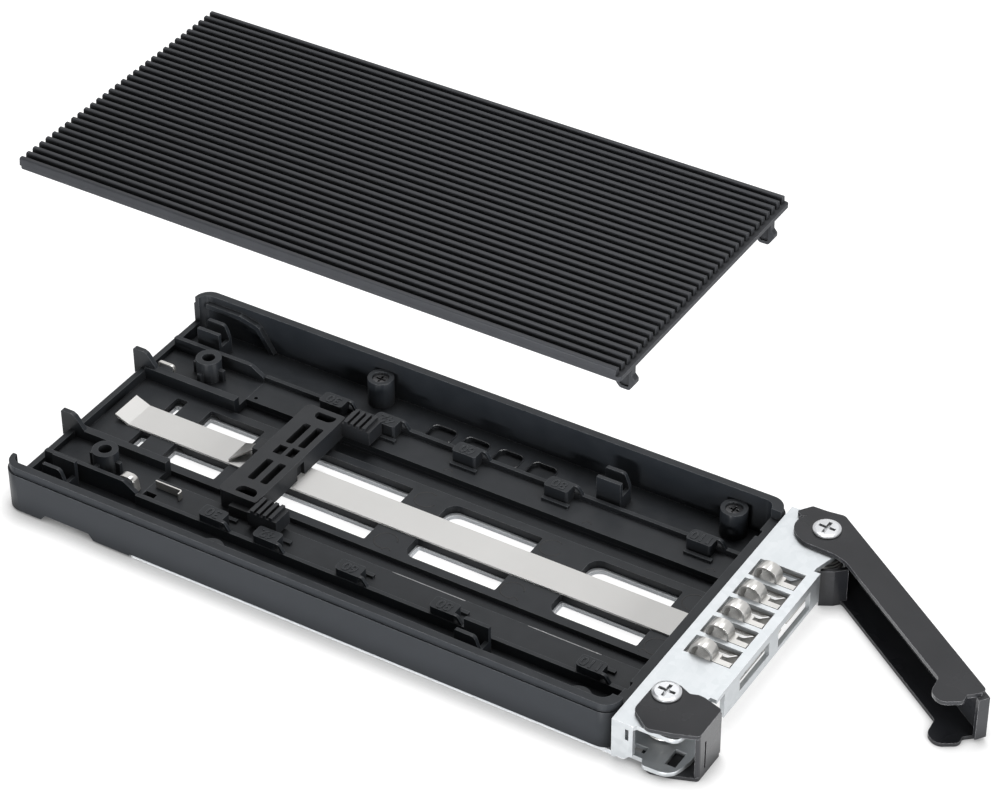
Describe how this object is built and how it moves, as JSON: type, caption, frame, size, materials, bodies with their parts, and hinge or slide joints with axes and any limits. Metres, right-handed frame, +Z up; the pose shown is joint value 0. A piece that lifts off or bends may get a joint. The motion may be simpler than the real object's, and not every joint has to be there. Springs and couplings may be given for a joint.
{
  "type": "hot swap drive caddy",
  "caption": "Shallow tray for one card-shaped drive, with a sliding stop, a finned clip-on cover lifted off, and a sheet-metal front end with a swinging lever and latch.",
  "frame": {"origin": "on the underside of the base plate, under the middle of the tray", "axes": "+X towards the lever end, +Y towards the side that carries the lever's pivot, +Z up, out of the open tray"},
  "size_m": [0.1849, 0.0676, 0.0785],
  "materials": {
    "tray_plastic": "fine grained",
    "stop_plastic": "fine grained",
    "galvanised": "satin",
    "spring_steel": "polished",
    "dark_screw": "polished",
    "bright_screw": "satin",
    "thermal_film": "smooth",
    "thermal_pad": "soft",
    "black_fins": "black anodised",
    "black_steel": "satin black"
  },
  "bodies": {
    "tray": {"tray_frame": "tray_plastic", "rear_rail_far": "tray_plastic", "rear_rail_near": "tray_plastic", "rail_far": "tray_plastic", "rail_near": "tray_plastic", "catch_tabs": "tray_plastic", "screw_posts": "tray_plastic", "base_plate": "galvanised", "base_screws": "dark_screw", "retaining_clips": "spring_steel", "thermal_strip": "thermal_film", "front_bracket": "galvanised", "bracket_rivets": "galvanised", "finger_strip": "spring_steel", "lever_screw": "bright_screw", "lever_post": "bright_screw", "lever_spring": "spring_steel", "latch_screw": "bright_screw", "latch_post": "bright_screw", "latch_spring": "spring_steel"},
    "stop": {"ssd_stop": "stop_plastic", "stop_catch": "spring_steel", "detent_springs": "spring_steel"},
    "cover": {"heat_sink_cover": "black_fins", "cover_pad": "thermal_pad"},
    "lever": {"lever": "black_steel"},
    "latch": {"latch": "black_steel"}
  },
  "joints": [
    {"name": "lever_hinge", "type": "hinge", "parent": "tray", "child": "lever", "pos_m": [0.0743, 0.0286, 0.0052], "axis": [0, 0, 1], "range_deg": [-54.7, 6]},
    {"name": "latch_hinge", "type": "hinge", "parent": "tray", "child": "latch", "pos_m": [0.0707, -0.0241, 0.0052], "axis": [0, 0, 1], "range_deg": [-8, 0], "stiffness_Nm_per_rad": 0.02, "springref_deg": 8.59},
    {"name": "stop_slide", "type": "slide", "parent": "tray", "child": "stop", "axis": [1, 0, 0], "range_m": [-0.012, 0.068]},
    {"name": "cover_lift", "type": "slide", "parent": "tray", "child": "cover", "axis": [0, 0, 1], "range_m": [-0.0679, 0]}
  ]
}
